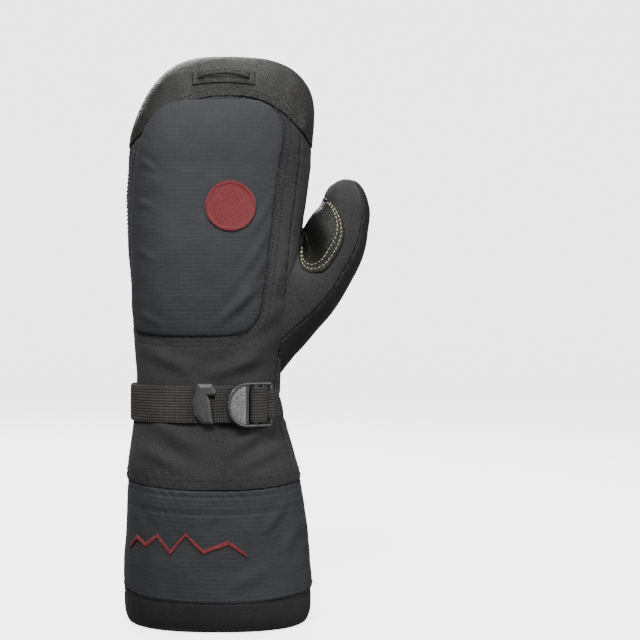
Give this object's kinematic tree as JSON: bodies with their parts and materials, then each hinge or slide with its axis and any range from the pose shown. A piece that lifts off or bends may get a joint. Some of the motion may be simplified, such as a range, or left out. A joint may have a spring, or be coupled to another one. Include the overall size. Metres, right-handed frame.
{
  "type": "ski mitten",
  "caption": "Left-hand ski mitten with a padded back, leather palm and fingertips, strapped wrist with ladder-lock buckle and a long gauntlet cuff.",
  "frame": {"origin": "middle of the cuff's mouth, in the plane of the hem", "axes": "+Z from the cuff to the fingertips, -Y out of the back of the hand, +X towards the thumb side"},
  "size_m": [0.1374, 0.078, 0.3148],
  "materials": {
    "softshell": "stretch softshell, matt",
    "ripstop": "ripstop weave, matt",
    "palm_leather": "grained goat leather, semi-matt",
    "side_leather": "smooth synthetic leather",
    "hem_fabric": "stretch fabric",
    "casing_fabric": "folded woven fabric",
    "fleece": "brushed fleece",
    "membrane": "thin film, satin",
    "wadding": "lofted polyester wadding",
    "foam": "open-cell foam",
    "elastic": "knitted elastic",
    "webbing": "ribbed woven webbing",
    "buckle_plastic": "speckled grey moulding",
    "pull_plastic": "soft moulded plastic",
    "embroidery": "embroidered thread"
  },
  "bodies": {
    "gauntlet": {"hem_band": "hem_fabric", "gauntlet_shell": "ripstop", "gauntlet_lining": "fleece", "cuff_casing": "casing_fabric", "gauntlet_mark": "embroidery", "wrist_sleeve": "softshell", "wrist_lining": "fleece"},
    "hand": {"back_shell": "softshell", "wrist_gather_panel": "softshell", "palm_leather": "palm_leather", "fingertip_cap": "palm_leather", "waterproof_insert": "membrane", "insulation": "wadding", "hand_lining": "fleece", "wrist_elastic": "elastic", "back_pad_foam": "foam", "back_pad_cover": "ripstop", "round_badge": "embroidery", "hanging_loop": "webbing", "index_patch": "palm_leather", "strap_webbing": "webbing", "buckle_anchor": "webbing", "thumb_gusset": "softshell", "thumb_gusset_lining": "fleece"},
    "buckle": {"ladder_lock": "buckle_plastic", "strap_over_bar": "webbing"},
    "strap_end": {"strap_tail": "webbing", "strap_end_pull": "pull_plastic"},
    "thumb": {"thumb_back_panel": "softshell", "thumb_palm_panel": "palm_leather", "thumb_side_strip": "side_leather", "thumb_patch": "palm_leather", "thumb_insert": "membrane", "thumb_insulation": "wadding", "thumb_lining": "fleece"}
  },
  "joints": [
    {"name": "wrist_bend", "type": "hinge", "parent": "gauntlet", "child": "hand", "pos_m": [-0.0024, 0, 0.094], "axis": [1, 0, 0], "range_deg": [-12, 15], "deforming": ["wrist_sleeve", "wrist_lining"]},
    {"name": "thumb_flex", "type": "hinge", "parent": "hand", "child": "thumb", "pos_m": [0.0585, 0, 0.2], "axis": [-0.72, 0, 0.694], "range_deg": [-10, 20], "deforming": ["thumb_gusset", "thumb_gusset_lining"]},
    {"name": "buckle_tilt", "type": "hinge", "parent": "hand", "child": "buckle", "pos_m": [0.03, -0.0274, 0.121], "axis": [0, 0, 1], "range_deg": [0, 40]},
    {"name": "strap_slide", "type": "slide", "parent": "hand", "child": "strap_end", "axis": [-1, 0, 0], "range_m": [0, 0.0065]}
  ]
}
